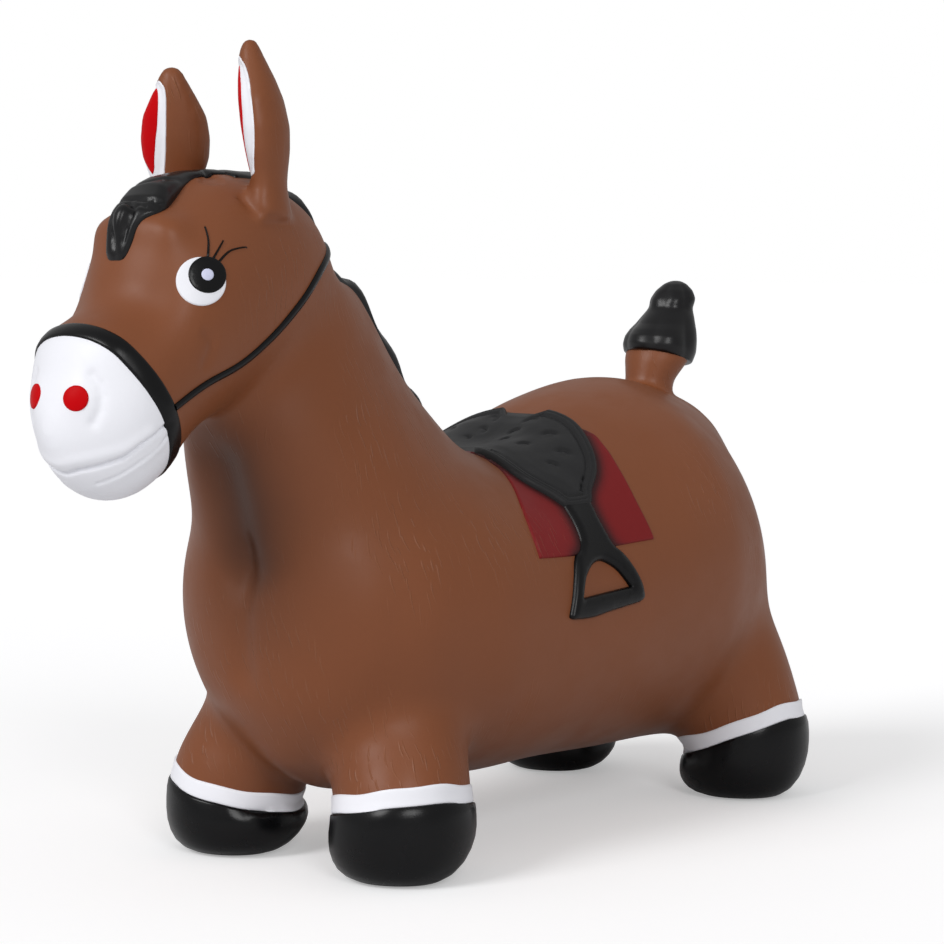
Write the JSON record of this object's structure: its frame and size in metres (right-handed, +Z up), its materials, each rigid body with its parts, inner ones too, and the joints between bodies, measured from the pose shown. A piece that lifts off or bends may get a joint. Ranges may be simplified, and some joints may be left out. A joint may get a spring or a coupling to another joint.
{
  "type": "inflatable ride-on horse",
  "caption": "Inflatable bouncy ride-on horse with saddle, bridle, upright ears to hold, springy feet and a belly air valve.",
  "frame": {"origin": "on the floor under the middle of the overall box", "axes": "+Z up, -Y the way the horse looks, +X its left side"},
  "size_m": [0.2302, 0.56, 0.4498],
  "materials": {
    "brown_skin": "satin soft PVC",
    "black_skin": "satin black on soft PVC",
    "white_paint": "satin white on soft PVC",
    "red_paint": "satin red on soft PVC",
    "blanket_red": "satin dark red on soft PVC",
    "catchlight_grey": "satin grey paint",
    "valve_plastic": "plain moulded plastic"
  },
  "bodies": {
    "body": {"ankle_front_left": "brown_skin", "ankle_front_right": "brown_skin", "ankle_rear_left": "brown_skin", "ankle_rear_right": "brown_skin", "body_skin": "brown_skin", "bridle_strap_left": "black_skin", "bridle_strap_right": "black_skin", "ear_root_left": "brown_skin", "ear_root_right": "brown_skin", "eye_catchlight_left": "catchlight_grey", "eye_catchlight_right": "catchlight_grey", "eye_iris_left": "black_skin", "eye_iris_right": "black_skin", "eye_white_left": "white_paint", "eye_white_right": "white_paint", "forelock": "black_skin", "mane": "black_skin", "muzzle": "white_paint", "noseband": "black_skin", "nostril_left": "red_paint", "nostril_right": "red_paint", "saddle": "black_skin", "saddle_blanket": "blanket_red", "stirrup_left": "black_skin", "stirrup_right": "black_skin", "stirrup_strap_left": "black_skin", "stirrup_strap_right": "black_skin", "tail_root": "brown_skin", "valve_seat": "valve_plastic"},
    "foot_front_left": {"hoof_front_left": "black_skin", "hoof_band_front_left": "white_paint"},
    "foot_front_right": {"hoof_front_right": "black_skin", "hoof_band_front_right": "white_paint"},
    "foot_rear_left": {"hoof_rear_left": "black_skin", "hoof_band_rear_left": "white_paint"},
    "foot_rear_right": {"hoof_rear_right": "black_skin", "hoof_band_rear_right": "white_paint"},
    "ear_left_tip": {"ear_left": "brown_skin", "ear_lining_left": "white_paint", "ear_centre_left": "red_paint"},
    "ear_right_tip": {"ear_right": "brown_skin", "ear_lining_right": "white_paint", "ear_centre_right": "red_paint"},
    "tail": {"tail_tuft": "black_skin"},
    "plug": {"valve_plug": "valve_plastic"}
  },
  "joints": [
    {"name": "front_left_foot_squash", "type": "slide", "parent": "body", "child": "foot_front_left", "axis": [0, 0, 1], "range_m": [0, 0.015], "stiffness_N_per_m": 3000, "springref_m": -0.004, "deforming": ["ankle_front_left"]},
    {"name": "front_right_foot_squash", "type": "slide", "parent": "body", "child": "foot_front_right", "axis": [0, 0, 1], "range_m": [0, 0.015], "stiffness_N_per_m": 3000, "springref_m": -0.004, "deforming": ["ankle_front_right"]},
    {"name": "rear_left_foot_squash", "type": "slide", "parent": "body", "child": "foot_rear_left", "axis": [0, 0, 1], "range_m": [0, 0.015], "stiffness_N_per_m": 3000, "springref_m": -0.004, "deforming": ["ankle_rear_left"]},
    {"name": "rear_right_foot_squash", "type": "slide", "parent": "body", "child": "foot_rear_right", "axis": [0, 0, 1], "range_m": [0, 0.015], "stiffness_N_per_m": 3000, "springref_m": -0.004, "deforming": ["ankle_rear_right"]},
    {"name": "left_ear_flex", "type": "hinge", "parent": "body", "child": "ear_left_tip", "pos_m": [0.034, -0.15496, 0.36519], "axis": [1, 0, 0], "range_deg": [-25, 25], "stiffness_Nm_per_rad": 0.15, "deforming": ["ear_root_left"]},
    {"name": "right_ear_flex", "type": "hinge", "parent": "body", "child": "ear_right_tip", "pos_m": [-0.034, -0.15496, 0.36454], "axis": [1, 0, 0], "range_deg": [-25, 25], "stiffness_Nm_per_rad": 0.15, "deforming": ["ear_root_right"]},
    {"name": "tail_flex", "type": "hinge", "parent": "body", "child": "tail", "pos_m": [0, 0.23374, 0.23984], "axis": [1, 0, 0], "range_deg": [-30, 30], "stiffness_Nm_per_rad": 0.6, "deforming": ["tail_root"]},
    {"name": "valve_plug_pull", "type": "slide", "parent": "body", "child": "plug", "axis": [0, 0, -1], "range_m": [0, 0.015]}
  ]
}
